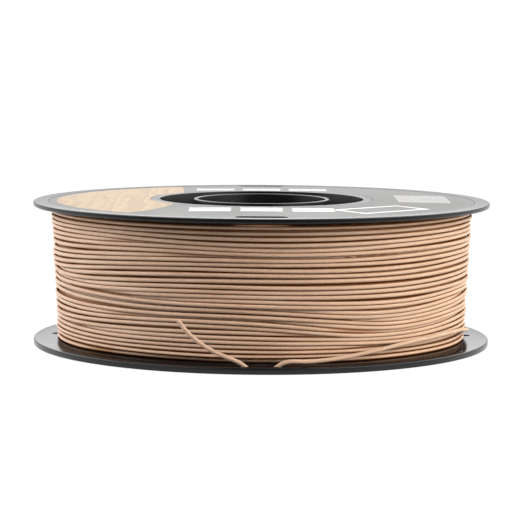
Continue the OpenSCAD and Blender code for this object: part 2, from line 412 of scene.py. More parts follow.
@dataclass(frozen=True)
class LabelFilm:
    """Gloss film: a dark field with plain white bars, and a field of pale wood grain on the left."""

    name: str = "gloss_label_film"
    dark: Colour = (0.034, 0.03, 0.024, 1.0)
    white: Colour = (0.85, 0.85, 0.83, 1.0)
    margin: Colour = (0.05, 0.048, 0.045, 1.0)
    margin_r: float = 89.8 * MM
    edge: float = 0.3 * MM
    gloss: float = 0.04
    haze: float = 0.12
    ink_haze: float = 0.1
    ripple_patch: float = 30 * MM
    ripple_depth: float = 0.05 * MM
    ripple_share: float = 0.15
    index: float = 1.49
    mirror_share: float = 0.465
    wood: WoodPrint = WoodPrint()
    wood_reach: float = -35.5 * MM
    wood_bow: float = 250
    wood_bow_middle: float = 22 * MM
    block_pitch: float = 21.4 * MM
    block_width: float = 17.5 * MM
    block_span: float = 64 * MM
    bar_pitch: float = 5.6 * MM
    bar_width: float = 3.2 * MM
    bars_from: float = 51 * MM
    bars_to: float = 65.8 * MM
    note_middle: Pair = (71 * MM, 8 * MM)
    note_size: Pair = (23 * MM, 42 * MM)
    note_pitch: float = 4.2 * MM
    note_line: float = 1.3 * MM
    panel_middle: Pair = (50 * MM, -52 * MM)
    panel_size: Pair = (38 * MM, 20 * MM)
    panel_turn: float = math.radians(42)
    panel_line: float = 2.2 * MM

    def _stripes(self, along: Signal, pitch: float, width: float) -> Signal:
        """1 on evenly spaced stripes across a coordinate, of which one is centred on 0."""
        offset = abs((along / pitch + 0.5).fraction() - 0.5) * pitch
        return offset.below(width / 2, self.edge)

    def _box(self, x: Signal, y: Signal, size: Pair) -> Signal:
        """1 in a box of a given size round 0."""
        return abs(x).below(size[0] / 2, self.edge) * abs(y).below(size[1] / 2, self.edge)

    def _print(self, x: Signal, y: Signal) -> Signal:
        """Mask of all that is printed white: bars at the front and back, ruled lines and an empty panel.

        Args:
            x: Coordinate to the right.
            y: Coordinate to the back.

        Returns:
            1 where the print is white.
        """
        depth = abs(y) - (self.bars_from + self.bar_width / 2)
        rows = self._stripes(depth, self.bar_pitch, self.bar_width)
        rows = rows * abs(y).below(self.bars_to, self.edge) * (1 - abs(y).below(self.bars_from, self.edge))
        columns = self._stripes(x, self.block_pitch, self.block_width)
        blocks = rows * columns * abs(x).below(self.block_span / 2, self.edge)
        note_x = x - self.note_middle[0]
        note_y = y - self.note_middle[1]
        ruled = self._stripes(note_y, self.note_pitch, self.note_line)
        note = ruled * self._box(note_x, note_y, self.note_size)
        from_x = x - self.panel_middle[0]
        from_y = y - self.panel_middle[1]
        turn_cos = math.cos(self.panel_turn)
        turn_sin = math.sin(self.panel_turn)
        panel_x = from_x * turn_cos + from_y * turn_sin
        panel_y = from_y * turn_cos - from_x * turn_sin
        inside = tuple(size - 2 * self.panel_line for size in self.panel_size)
        panel = self._box(panel_x, panel_y, self.panel_size) - self._box(panel_x, panel_y, inside)
        return (blocks + note + panel).clamp()

    def make(self) -> Finish:
        """Builds the material.

        Returns:
            The material.
        """
        material, graph = new_material(self.name)
        place = graph.place()
        x, y, _ = graph.axes(place)
        bow = y - self.wood_bow_middle
        bow = bow * bow
        wooden = x.below(self.wood_reach - bow * bow * self.wood_bow, self.edge)
        printed = self._print(x, y) * (1 - wooden)
        field = graph.mix(wooden, self.dark, self.wood.colour(graph, place))
        radius = graph.length(graph.stretched(place, (1.0, 1.0, 0.0)))
        inside = radius.below(self.margin_r, self.edge)
        colour = graph.mix(inside, self.margin, graph.mix(printed, field, self.white))
        ripple = graph.noise(place, self.ripple_patch, detail=3.0)
        sockets = {
            "Base Color": colour,
            "Roughness": ripple * self.haze + printed * self.ink_haze + self.gloss,
            "IOR": self.index,
            "Normal": graph.bump(ripple, self.ripple_depth, self.ripple_share),
        }
        graph.finish(graph.half_gloss(self.mirror_share, sockets))
        return material


class Bench:
    """Hand tools. Each one wraps the operators of one step of modelling."""

    SIDES = 192
    CLOSE = 0.02 * MM
    DOUBLE = 0.001 * MM
    PLAIN_CORNERS = 4
    UPRIGHT = 0.9
    ROUND_END = 0.4995
    ROUND_END_FACES = 10

    @staticmethod
    def clear() -> None:
        """Leaves edit mode and deselects everything."""
        if bpy.context.object and bpy.context.object.mode != "OBJECT":
            bpy.ops.object.mode_set(mode="OBJECT")
        bpy.ops.object.select_all(action="DESELECT")

    @staticmethod
    def take(piece: Piece) -> None:
        """Selects one piece alone and makes it active.

        Args:
            piece: Piece to work on.
        """
        Bench.clear()
        piece.select_set(True)
        bpy.context.view_layer.objects.active = piece

    @staticmethod
    @contextmanager
    def editing(piece: Piece) -> Iterator[None]:
        """Holds a piece in edit mode.

        Args:
            piece: Piece to edit.

        Yields:
            Nothing.
        """
        Bench.take(piece)
        bpy.ops.object.mode_set(mode="EDIT")
        yield
        bpy.ops.object.mode_set(mode="OBJECT")

    @staticmethod
    def settle(piece: Piece) -> None:
        """Puts a piece's place, turn and scale into its mesh."""
        Bench.take(piece)
        bpy.ops.object.transform_apply(location=True, rotation=True, scale=True)

    @staticmethod
    def named(name: str) -> Piece:
        """Names the piece that was just added, and its mesh.

        Args:
            name: Name for both.

        Returns:
            The piece.
        """
        piece = bpy.context.object
        piece.name = name
        piece.data.name = name
        return piece

    @staticmethod
    def disc(name: str, radius: float, low: float, high: float, sides: int = SIDES) -> Piece:
        """Adds an upright round block on the axis.

        Args:
            name: Name of the piece.
            radius: Radius of the block.
            low: Height of its lower face.
            high: Height of its upper face.
            sides: Number of its sides.

        Returns:
            The block.
        """
        Bench.clear()
        bpy.ops.mesh.primitive_cylinder_add(
            vertices=sides, radius=radius, depth=high - low, location=(0, 0, (low + high) / 2)
        )
        piece = Bench.named(name)
        Bench.settle(piece)
        return piece

    @staticmethod
    def block(size: Point, middle: Point) -> Piece:
        """Adds a plain block.

        Args:
            size: Its length along each axis.
            middle: Where its middle is.

        Returns:
            The block.
        """
        Bench.clear()
        bpy.ops.mesh.primitive_cube_add(size=1.0, location=middle)
        piece = bpy.context.object
        piece.scale = size
        Bench.settle(piece)
        return piece

    @staticmethod
    def pick_faces(piece: Piece, test: Callable[[bmesh.types.BMFace], bool]) -> None:
        """Selects the faces that pass a test, and no others.

        Args:
            piece: Piece in edit mode.
            test: Tells whether a face is wanted.
        """
        bpy.ops.mesh.select_mode(type="FACE")
        bpy.ops.mesh.select_all(action="DESELECT")
        for face in bmesh.from_edit_mesh(piece.data).faces:
            face.select_set(test(face))
        bmesh.update_edit_mesh(piece.data)

    @staticmethod
    def pick_edges(piece: Piece, test: Callable[[Vector, Vector], bool]) -> None:
        """Selects the edges whose two ends pass a test, and no others.

        Args:
            piece: Piece in edit mode.
            test: Tells whether an edge with these ends is wanted.
        """
        bpy.ops.mesh.select_mode(type="EDGE")
        bpy.ops.mesh.select_all(action="DESELECT")
        for edge in bmesh.from_edit_mesh(piece.data).edges:
            edge.select_set(test(edge.verts[0].co, edge.verts[1].co))
        bmesh.update_edit_mesh(piece.data)

    @staticmethod
    def pick_cap(piece: Piece, direction: int) -> None:
        """Selects a round block's end face: the upper one for 1 and the lower one for -1."""
        corners = Bench.PLAIN_CORNERS
        Bench.pick_faces(
            piece, lambda face: len(face.verts) > corners and face.normal.z * direction > Bench.UPRIGHT
        )

    @staticmethod
    def pick_circle(piece: Piece, radius: float, height: float) -> None:
        """Selects the edges of a circle about the axis.

        Args:
            piece: Piece in edit mode.
            radius: Radius of the circle.
            height: Its height.
        """
        def on_it(point: Vector) -> bool:
            """Tells whether a point lies on the circle."""
            out = abs(point.xy.length - radius)
            return out < Bench.CLOSE and abs(point.z - height) < Bench.CLOSE

        Bench.pick_edges(piece, lambda one, two: on_it(one) and on_it(two))

    @staticmethod
    def step_in(distance: float) -> None:
        """Insets the selected face."""
        bpy.ops.mesh.inset(thickness=distance, depth=0.0)

    @staticmethod
    def rise(height: float) -> None:
        """Extrudes the selected face along the axis, up or, where negative, down."""
        bpy.ops.mesh.extrude_region_move(TRANSFORM_OT_translate={"value": (0, 0, height)})

    @staticmethod
    def shift(height: float) -> None:
        """Moves what is selected along the axis, up or, where negative, down."""
        bpy.ops.transform.translate(value=(0, 0, height))

    @staticmethod
    def round_over(size: float, segments: int) -> None:
        """Rounds the selected edges by a number of faces."""
        bpy.ops.mesh.bevel(offset=size, segments=segments, affect="EDGES", profile=0.5)

    @staticmethod
    def bore_through(piece: Piece, low: float, high: float) -> None:
        """Joins the round faces at two heights by the wall of a hole.

        Args:
            piece: Piece in edit mode.
            low: Height of the lower face.
            high: Height of the upper face.
        """
        def end(face: bmesh.types.BMFace) -> bool:
            """Tells whether a face is one of the two."""
            off = min(abs(face.calc_center_median().z - height) for height in (low, high))
            return len(face.verts) > Bench.PLAIN_CORNERS and off < Bench.CLOSE

        Bench.pick_faces(piece, end)
        bpy.ops.mesh.bridge_edge_loops()

    @staticmethod
    def hollow(piece: Piece, wall: float, low: float, high: float) -> None:
        """Bores a round block through.

        Args:
            piece: Block in edit mode.
            wall: Thickness that stays round the hole.
            low: Height of the block's lower face.
            high: Height of its upper face.
        """
        for direction in (-1, 1):
            Bench.pick_cap(piece, direction)
            Bench.step_in(wall)
        Bench.bore_through(piece, low, high)

    @staticmethod
    def make_sound() -> None:
        """Merges doubles and turns all faces of the piece in edit mode outwards."""
        bpy.ops.mesh.select_all(action="SELECT")
        bpy.ops.mesh.remove_doubles(threshold=Bench.DOUBLE)
        bpy.ops.mesh.normals_make_consistent(inside=False)

    @staticmethod
    def cut_slot(piece: Piece, middle: Pair, size: Pair, low: float, high: float) -> None:
        """Cuts a slot with round ends, along X, out of a piece.

        Args:
            piece: Piece to cut.
            middle: Middle of the slot.
            size: Its length over the round ends, and its width.
            low: Where it starts.
            high: Where it ends.
        """
        length, width = size
        cutter = Bench.block((length, width, high - low), (0, 0, (low + high) / 2))
        with Bench.editing(cutter):
            Bench.pick_edges(cutter, lambda one, two: abs(one.z - two.z) > (high - low) / 2)
            Bench.round_over(width * Bench.ROUND_END, Bench.ROUND_END_FACES)
            Bench.make_sound()
        cutter.location = (*middle, 0)
        Bench.settle(cutter)
        Bench.take(piece)
        modifier = piece.modifiers.new("cut", "BOOLEAN")
        modifier.operation = "DIFFERENCE"
        modifier.solver = "EXACT"
        modifier.object = cutter
        bpy.ops.object.modifier_apply(modifier=modifier.name)
        bpy.data.objects.remove(cutter)

    @staticmethod
    def smooth(piece: Piece, angle_deg: float = 30.0) -> None:
        """Shades a piece smooth, apart from edges sharper than an angle."""
        Bench.take(piece)
        bpy.ops.object.shade_smooth_by_angle(angle=math.radians(angle_deg))

    @staticmethod
    def lathe(name: str, outline: Sequence[Pair], steps: int) -> Piece:
        """Spins a closed outline about the axis.

        Args:
            name: Name of the piece.
            outline: Radius and height of each corner.
            steps: Number of steps round the axis.

        Returns:
            The spun piece.
        """
        Bench.clear()
        bpy.ops.mesh.primitive_circle_add(vertices=len(outline), radius=MM, fill_type="NOTHING")
        piece = Bench.named(name)
        for vertex, (radius, height) in zip(piece.data.vertices, outline):
            vertex.co = (radius, 0, height)
        with Bench.editing(piece):
            bpy.ops.mesh.select_all(action="SELECT")
            bpy.ops.mesh.spin(steps=steps, angle=math.tau, center=(0, 0, 0), axis=(0, 0, 1))
            Bench.make_sound()
        return piece

    @staticmethod
    def strand(name: str, diameter: float, roundness: int) -> Piece:
        """Adds a round strand as a curve that has no points yet.

        Args:
            name: Name of the piece.
            diameter: Thickness of the strand.
            roundness: Resolution of its section.

        Returns:
            The strand.
        """
        line = bpy.data.curves.new(name, "CURVE")
        line.dimensions = "3D"
        line.bevel_depth = diameter / 2
        line.bevel_resolution = roundness
        line.use_fill_caps = True
        piece = bpy.data.objects.new(name, line)
        bpy.context.scene.collection.objects.link(piece)
        return piece


def dress(piece: Piece, material: Finish, replaced: str) -> Piece:
    """Gives a piece its finish and its place in the frame.

    Args:
        piece: Finished piece.
        material: Its material.
        replaced: Solid that it stands for.

    Returns:
        The piece.
    """
    piece.data.materials.clear()
    piece.data.materials.append(material)
    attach(piece, BODY)
    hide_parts(replaced)
    LOG.info("made %s", piece.name)
    return piece


@dataclass
class Tail:
    """The strand's loose end: off the winding, down through one tie hole, up through the next."""

    name: str = "loose_strand_end"
    strand_d: float = 1.75 * MM
    roundness: int = 4
    steps_between: int = 6
    route_mm: tuple[Point, ...] = (
        (85.5, -35.5, 11.1), (83.5, -40, 11.2), (81.5, -44.5, 11.3), (79, -48.5, 11.4),
        (76.5, -52.5, 11.3), (73.5, -56.5, 11.2), (70.5, -60.5, 11), (67, -64, 10.8),
        (63.5, -67.5, 10.5), (60, -71, 10.1), (56, -74, 9.6), (52, -77, 9),
        (47.5, -80, 8.3), (43, -82.5, 7.6), (38.5, -84.5, 6.9), (34, -86.5, 6.2),
        (29, -88.5, 5.7), (24, -90.5, 5.4), (19.5, -92.5, 5.3), (15.5, -94, 5.5),
        (12.5, -94.7, 5.6), (10.5, -95, 5.4), (8.9, -95, 4.9), (7.5, -95, 4.1),
        (6.3, -95, 3.2), (5, -95, 2.4), (3.5, -95, 1.9), (1.8, -95, 1.7),
        (-2, -95, 1.7), (-3.7, -95, 1.95), (-5.3, -95, 2.7), (-6.8, -95, 3.8),
        (-8.4, -95, 4.9), (-10.4, -95.2, 5.9), (-14, -95.4, 7.4), (-18, -95.6, 9.1),
        (-22.5, -95.8, 11.7), (-26.5, -96.1, 14.7), (-30, -96.5, 18), (-33, -97, 22.1),
    )

    def points(self) -> list[Vector]:
        """The route's points, in metres."""
        return [Vector(point) * MM for point in self.route_mm]

    def length(self) -> float:
        """Length of the route."""
        points = self.points()
        return sum((two - one).length for one, two in zip(points, points[1:]))

    def build(self, material: Finish) -> Piece:
        """Lays the strand along its route.

        Args:
            material: Finish of the strand.

        Returns:
            The strand, as a curve.
        """
        points = self.points()
        piece = Bench.strand(self.name, self.strand_d, self.roundness)
        piece.data.resolution_u = self.steps_between
        spline = piece.data.splines.new("BEZIER")
        spline.bezier_points.add(len(points) - 1)
        for knot, point in zip(spline.bezier_points, points):
            knot.co = point
            knot.handle_left_type = "AUTO"
            knot.handle_right_type = "AUTO"
        dress(piece, material, "filament_tail")
        self.length()
        return piece


@dataclass(frozen=True)
class Drift:
    """Smooth wander along the strand: the angle it takes to change, the turns that share it, its spread."""

    reach_deg: float
    reach_turns: float
    size: float

    def draw(self, rng: np.random.Generator, turns: int, samples: int) -> np.ndarray:
        """Draws the wander of a layer.

        Args:
            rng: Seeded source of numbers.
            turns: Number of turns.
            samples: Number of samples in a turn.

        Returns:
            One value for each sample.
        """
        width = self.reach_deg / 360 * samples
        half = int(3 * width)
        kernel = np.exp(-0.5 * (np.arange(-half, half + 1) / width) ** 2)
        noise = np.convolve(rng.standard_normal(turns * samples + 2 * half), kernel, "valid")
        if self.reach_turns > 0:
            reach = int(2 * self.reach_turns)
            noise = sum(
                math.exp(-0.5 * (turn / self.reach_turns) ** 2) * np.roll(noise, turn * samples)
                for turn in range(-reach, reach + 1)
            )
        return self.size * noise / noise.std()


@dataclass
class Winding:
    """The wound strand: an uneven outer layer of turns over the layers under it.

    A turn is counted from the top, and an angle from the right towards the back. The strand runs
    the other way round, so that the angle falls along it.
    """

    tail: Tail
    turns: int = 32
    last_turn: float = 0.375
    samples: int = 150
    seed: int = 34
    strand_d: float = 1.75 * MM
    roundness: int = 3
    top_r: float = 92.3 * MM
    bottom_r: float = 89.5 * MM
    face_gap: float = 0.05 * MM
    # Turn, and the angles between which it lies under its neighbours
    dives: tuple[tuple[int, float, float], ...] = (
        (2, 100, 60), (4, 60, -129), (7, 35, -112), (9, 100, 45), (11, -154, -235), (13, -142, -215),
        (14, 95, 45), (15, -130, -225), (16, -118, -215), (18, 80, -20), (18, -72, -205), (20, -60, -190),
        (21, 100, 30), (22, -78, -130), (23, 100, -66), (25, 25, -80), (26, -137, -235), (28, 30, -60),
    )
    dive_ramp: float = 26
    dive_depth: float = 1.6 * MM
    # Shares of a turn between which it steps down to the next
    crossing: Pair = (0.82, 1.0)
    shared_drift: Drift = Drift(24, 3.5, 0.8 * MM)
    own_drift: Drift = Drift(13, 0, 0.26 * MM)
    clump_drift: Drift = Drift(60, 0, 0.06 * MM)
    radial_drift: Drift = Drift(16, 0, 0.2 * MM)
    held_turns: float = 3
    # Angle and turn in the middle of each sag, and its depth
    sags: tuple[Point, ...] = (
        (-57, 21.0, 3.4 * MM), (-97, 18.5, -1.5 * MM), (-18, 19.0, -1.8 * MM), (-162, 12, 0.8 * MM),
    )
    sag_reach: float = 17
    sag_turns: float = 4.5
    pull: float = 0.12
    relax_rounds: int = 500
    bulge_angle: float = -math.tau
    bulge: float = 0.5 * MM
    bulge_reach: float = math.radians(28)
    last_hidden: Pair = (math.radians(-66), math.radians(-152))
    last_ramp: float = math.radians(22)
    last_depth: float = 1.4 * MM
    start_samples: int = 10
    start_depth: float = 3.2 * MM
    # Share of the climb, step out from the last turn or the tail, and rise, in millimetres
    climb_off: tuple[Point, ...] = (
        (0.0, 0.0, 0.0), (0.12, 0.4, 0.05), (0.3, 1.2, 0.2),
        (0.5, 1.3, 0.5), (0.7, 1.3, 1.2), (0.86, 1.4, 2.6),
    )
    climb_out: tuple[Point, ...] = ((0.95, -0.6, 5.2), (1.0, 0.0, 6.78))
    climb_softening: int = 9
    core_in_r: float = 48.3 * MM
    core_drop: float = 0.8 * MM
    core_sides: int = 96
    core_sharp_deg: float = 60
    ridge_points: int = 5
    ridge_width: float = 0.95
    # Painted shade of the layers under the outer one: part-dark on a ridge's crest, full in its valleys,
    # lighter on the ring's end faces
    ridge_shade: float = 0.55
    ridge_depth: float = 0.4 * MM
    core_face: float = 0.1 * MM
    # Painted shade, stored as an attribute of the winding: dark between turns and beside the lower and upper
    # flange, lighter under the slots of the upper flange, and none at the strand's free end
    painted_shade_from: float = 0.62
    painted_shade_width: float = 0.57
    low_gap_reach: float = 8 * MM
    low_gap_shade: float = 2.2
    high_gap_reach: float = 5 * MM
    high_gap_shade: float = 1.2
    open_shade: float = 0.2
    open_reach: float = 10.5 * MM
    open_edge: float = 2 * MM
    open_depth: float = 0.55 * MM
    open_depth_edge: float = 0.3 * MM
    bare_end: int = 4
    bare_fade: int = 8

    def __post_init__(self) -> None:
        """Reads the faces of the flanges from the frame."""
        low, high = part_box("winding_drum")
        self.low = low.z
        self.high = high.z
        self.z_top = self.high - self.strand_d / 2 - self.face_gap
        self.z_bottom = self.low + self.strand_d / 2 + self.face_gap
        self.count = self.turns * self.samples
        self.exit = self.tail.points()[0]
        self.exit_angle = math.atan2(self.exit.y, self.exit.x)
        self.start_angle = self.exit_angle + math.tau * self.last_turn

    def centre_r(self, height: np.ndarray) -> np.ndarray:
        """Radius of the outer layer's centreline at each height. It tapers downwards."""
        share = (height - self.z_bottom) / (self.z_top - self.z_bottom)
        return self.bottom_r + (self.top_r - self.bottom_r) * share - self.strand_d / 2

    @staticmethod
    def _ramp(share: np.ndarray) -> np.ndarray:
        """Smooth step from 0 to 1."""
        share = np.clip(share, 0, 1)
        return share * share * (3 - 2 * share)

    def _sunk(self) -> np.ndarray:
        """Share by which each sample lies under its neighbours.

        Returns:
            0 on the surface, 1 where the strand has sunk between its neighbours.
        """
        along = 360 * np.arange(self.count) / self.samples
        sunk = np.zeros(self.count)
        for turn, first_deg, last_deg in self.dives:
            start = 360 * turn + math.degrees(self.start_angle)
            inside = np.minimum(along - start + first_deg, start - last_deg - along)
            sunk = np.maximum(sunk, self._ramp(inside / self.dive_ramp + 0.5))
        return sunk

    def _levels(self, sunk: np.ndarray, rng: np.random.Generator) -> np.ndarray:
        """Heights that the turns are drawn to: level, with a step down at the back, and evenly shared.

        Args:
            sunk: Share by which each sample has sunk.
            rng: Seeded source of numbers.

        Returns:
            One height for each sample.
        """
        lowered = np.clip(self.dive_depth * sunk / self.strand_d, 0, 1)
        room = np.clip(2 * np.sqrt(1 - lowered**2) - 1, 0, 1).reshape(self.turns, self.samples)
        above = np.cumsum(room, axis=0) - room / 2 - 0.5
        phase = np.arange(self.samples) / self.samples
        start, end = self.crossing
        level = (above + self._ramp((phase - start) / (end - start))) / (room.sum(axis=0) - 1)
        height = (self.z_top - (self.z_top - self.z_bottom) * level).ravel()
        turn = np.arange(self.count) / self.samples
        free = np.clip(np.minimum(turn, self.turns - turn) / self.held_turns, 0, 1)
        height += free * self.shared_drift.draw(rng, self.turns, self.samples)
        for drift in (self.own_drift, self.clump_drift):
            height += np.clip(turn, 0, 1) * drift.draw(rng, self.turns, self.samples)
        lap = np.floor(turn)
        angle = math.degrees(self.start_angle) - 360 * (turn - lap)
        for middle_deg, middle_lap, depth in self.sags:
            aside = ((angle - middle_deg) / self.sag_reach) ** 2 + ((lap - middle_lap) / self.sag_turns) ** 2
            height -= depth * np.exp(-aside)
        return np.clip(height, self.z_bottom, self.z_top)

    def _last_sunk(self, angle: np.ndarray) -> np.ndarray:
        """Share by which the last turn lies under the one above it, along the front.

        Args:
            angle: Angle of each sample, from the start of the layer downwards.

        Returns:
            1 where the last turn has sunk.
        """
        last = angle + math.tau * (self.turns - 1)
        start, end = self.last_hidden
        return self._ramp(np.minimum(start - last, last - end) / self.last_ramp)

    def _layer(self) -> np.ndarray:
        """Centreline of the outer layer's turns, with neighbours kept from running into each other.

        Returns:
            Angle, radius and height of each sample, in three columns.
        """
        rng = np.random.default_rng(self.seed)
        sunk = self._sunk()
        goal = self._levels(sunk, rng)
        inward = self.dive_depth * sunk - self.radial_drift.draw(rng, self.turns, self.samples)
        height = goal.copy()
        for step in range(self.relax_rounds):
            height += self.pull * (1 - step / self.relax_rounds) * (goal - height)
            height[1:-1] = 0.5 * height[1:-1] + 0.25 * (height[:-2] + height[2:])
            radius = self.centre_r(height) - inward
            for turns_apart in (1, 2):
                shift = turns_apart * self.samples
                aside = radius[:-shift] - radius[shift:]
                need = np.sqrt(np.clip(self.strand_d**2 - aside**2, 0, None))
                short = np.clip(need - (height[:-shift] - height[shift:]), 0, None)
                height[:-shift] += short / 2
                height[shift:] -= short / 2
            np.clip(height, self.z_bottom, self.z_top, out=height)
        angle = self.start_angle - math.tau * np.arange(self.count) / self.samples
        radius = self.centre_r(height) - inward
        radius += self.bulge * np.exp(-(((angle - self.bulge_angle) / self.bulge_reach) ** 2))
        radius -= self._last_sunk(angle) * self.last_depth
        return np.stack([angle, radius, height], 1)

    def _start(self, first: np.ndarray) -> np.ndarray:
        """The stretch that comes out of the layers under the first turn.

        Args:
            first: Angle, radius and height of the first sample of the layer.

        Returns:
            Angle, radius and height of each sample, in three columns.
        """
        back = np.arange(self.start_samples, 0, -1)
        angle = first[0] + math.tau * back / self.samples
        radius = first[1] - self.start_depth * (back / self.start_samples) ** 2
        return np.stack([angle, radius, np.full(len(back), first[2])], 1)

    def _climb(self, last: np.ndarray) -> np.ndarray:
        """The stretch that leaves the bottom turn, lies over its neighbours and comes out to the tail.

        Args:
            last: Angle, radius and height of the last sample of the layer.

        Returns:
            Angle, radius and height of each sample, in three columns.
        """
        shares, outs, rises = np.array(self.climb_off + self.climb_out).T
        from_r = np.where(shares > self.climb_off[-1][0], self.exit.xy.length, last[1])
        heights = last[2] + rises / rises[-1] * (self.exit.z - last[2])
        steps = int(self.last_turn * self.samples)
        share = np.arange(1, steps + 1) / steps
        soft = np.hanning(self.climb_softening)
        soft /= soft.sum()
        half = len(soft) // 2
        end = self.exit_angle - math.tau * self.turns
        columns = [last[0] + share * (end - last[0])]
        for knots in (from_r + outs * MM, heights):
            padded = np.pad(np.interp(share, shares, knots), half, constant_values=(knots[0], knots[-1]))
            columns.append(np.convolve(padded, soft, "valid"))
        return np.stack(columns, 1)

    def path(self) -> np.ndarray:
        """Centreline of the whole outer layer, from the layers under it to the tail.

        Returns:
            Points in three columns.
        """
        layer = self._layer()
        angle, radius, height = np.concatenate([self._start(layer[0]), layer, self._climb(layer[-1])]).T
        points = np.stack([radius * np.cos(angle), radius * np.sin(angle), height], 1)
        points[-1] = self.exit
        return points

    def _layer_shade(self, corners: np.ndarray, middles: np.ndarray) -> np.ndarray:
        """Painted shade of each corner of the tube: dark between turns and beside a flange, lighter under a
        slot.

        Args:
            corners: Corners of the tube.
            middles: Point of the centreline at each of them.

        Returns:
            0 on the crest of a turn, 1 in the gap between turns.
        """
        facing = (np.hypot(*corners.T[:2]) - np.hypot(*middles.T[:2])) / (self.strand_d / 2)
        rise = (corners[:, 2] - middles[:, 2]) / (self.strand_d / 2)
        near_low = np.clip(1 - (corners[:, 2] - self.low) / self.low_gap_reach, 0, 1)
        near_high = np.clip(1 - (self.high - corners[:, 2]) / self.high_gap_reach, 0, 1)
        shade = near_high * rise * self.high_gap_shade - near_low * rise * self.low_gap_shade
        painted_shade = np.clip((self.painted_shade_from - facing + np.clip(shade, 0, None)) / self.painted_shade_width, 0, 1)
        under_slot = np.clip((self.open_reach - np.abs(corners[:, 0])) / self.open_edge, 0, 1)
        under_slot *= np.clip((corners[:, 2] - self.high + self.open_depth) / self.open_depth_edge, 0, 1)
        return painted_shade * (1 - (1 - self.open_shade) * under_slot)

    @staticmethod
    def _store_painted_shade(piece: Piece, painted_shade: np.ndarray) -> None:
        """Stores the painted shade of each corner of a piece, as an attribute that darkens the strand.

        Args:
            piece: Piece of the winding.
            painted_shade: 0 on the crest of a turn, 1 in the gap between turns.
        """
        layer = piece.data.attributes.new(SHADE_ATTRIBUTE, "FLOAT", "POINT")
        values = np.zeros(len(piece.data.vertices), dtype=np.float32)
        values[: len(painted_shade)] = painted_shade
        layer.data.foreach_set("value", values)

    def build_layer(self, material: Finish) -> Piece:
        """Makes the outer layer as one unbroken tube.

        Args:
            material: Finish of the strand.

        Returns:
            The layer.
        """
        points = self.path()
        piece = Bench.strand("wound_strand", self.strand_d, self.roundness)
        spline = piece.data.splines.new("POLY")
        spline.points.add(len(points) - 1)
        spline.points.foreach_set("co", np.hstack([points, np.ones((len(points), 1))]).ravel())
        Bench.take(piece)
        bpy.ops.object.convert(target="MESH")
        piece = bpy.context.object
        corners = np.zeros(3 * len(piece.data.vertices))
        piece.data.vertices.foreach_get("co", corners)
        ring = len(piece.data.vertices) // len(points)
        corners = corners.reshape(-1, 3)[: ring * len(points)]
        # Painted shade between turns and beside the flanges, none at the strand's free end
        painted_shade = self._layer_shade(corners, np.repeat(points, ring, axis=0))
        to_end = len(points) - np.arange(len(points))
        held = np.clip((to_end - self.bare_end) / self.bare_fade, 0, 1)
        self._store_painted_shade(piece, painted_shade * np.repeat(held, ring))
        return dress(piece, material, "filament_outer_layer")

    def build_core(self, material: Finish) -> Piece:
        """Makes the layers under the outer one, as a ring with a ridge for each turn.

        Args:
            material: Finish of the strand.

        Returns:
            The ring.
        """
        low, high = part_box("filament_inner_layers")
        heights = np.linspace(low.z, high.z, self.turns * self.ridge_points + 1)
        across = (np.arange(len(heights)) % self.ridge_points) / self.ridge_points * 2 - 1
        dip = self.strand_d / 2 * (1 - np.sqrt(1 - (self.ridge_width * across) ** 2))
        radii = self.centre_r(heights) - self.core_drop - dip
        outline = [(self.core_in_r, high.z), (self.core_in_r, low.z), *zip(radii, heights)]
        piece = Bench.lathe("filament_layers_under", outline, self.core_sides)
        Bench.smooth(piece, self.core_sharp_deg)
        # Painted shade: dark in the valleys between ridges, lighter on the ring's end faces
        reach = np.array([vertex.co.xy.length for vertex in piece.data.vertices])
        height = np.array([vertex.co.z for vertex in piece.data.vertices])
        under = self.centre_r(height) - self.core_drop - reach
        painted_shade = np.clip(self.ridge_shade + (1 - self.ridge_shade) * under / self.ridge_depth, 0, 1)
        painted_shade *= reach > self.core_in_r + MM
        painted_shade[np.minimum(height - low.z, high.z - height) < self.core_face] *= self.open_shade
        self._store_painted_shade(piece, painted_shade)
        return dress(piece, material, "filament_inner_layers")


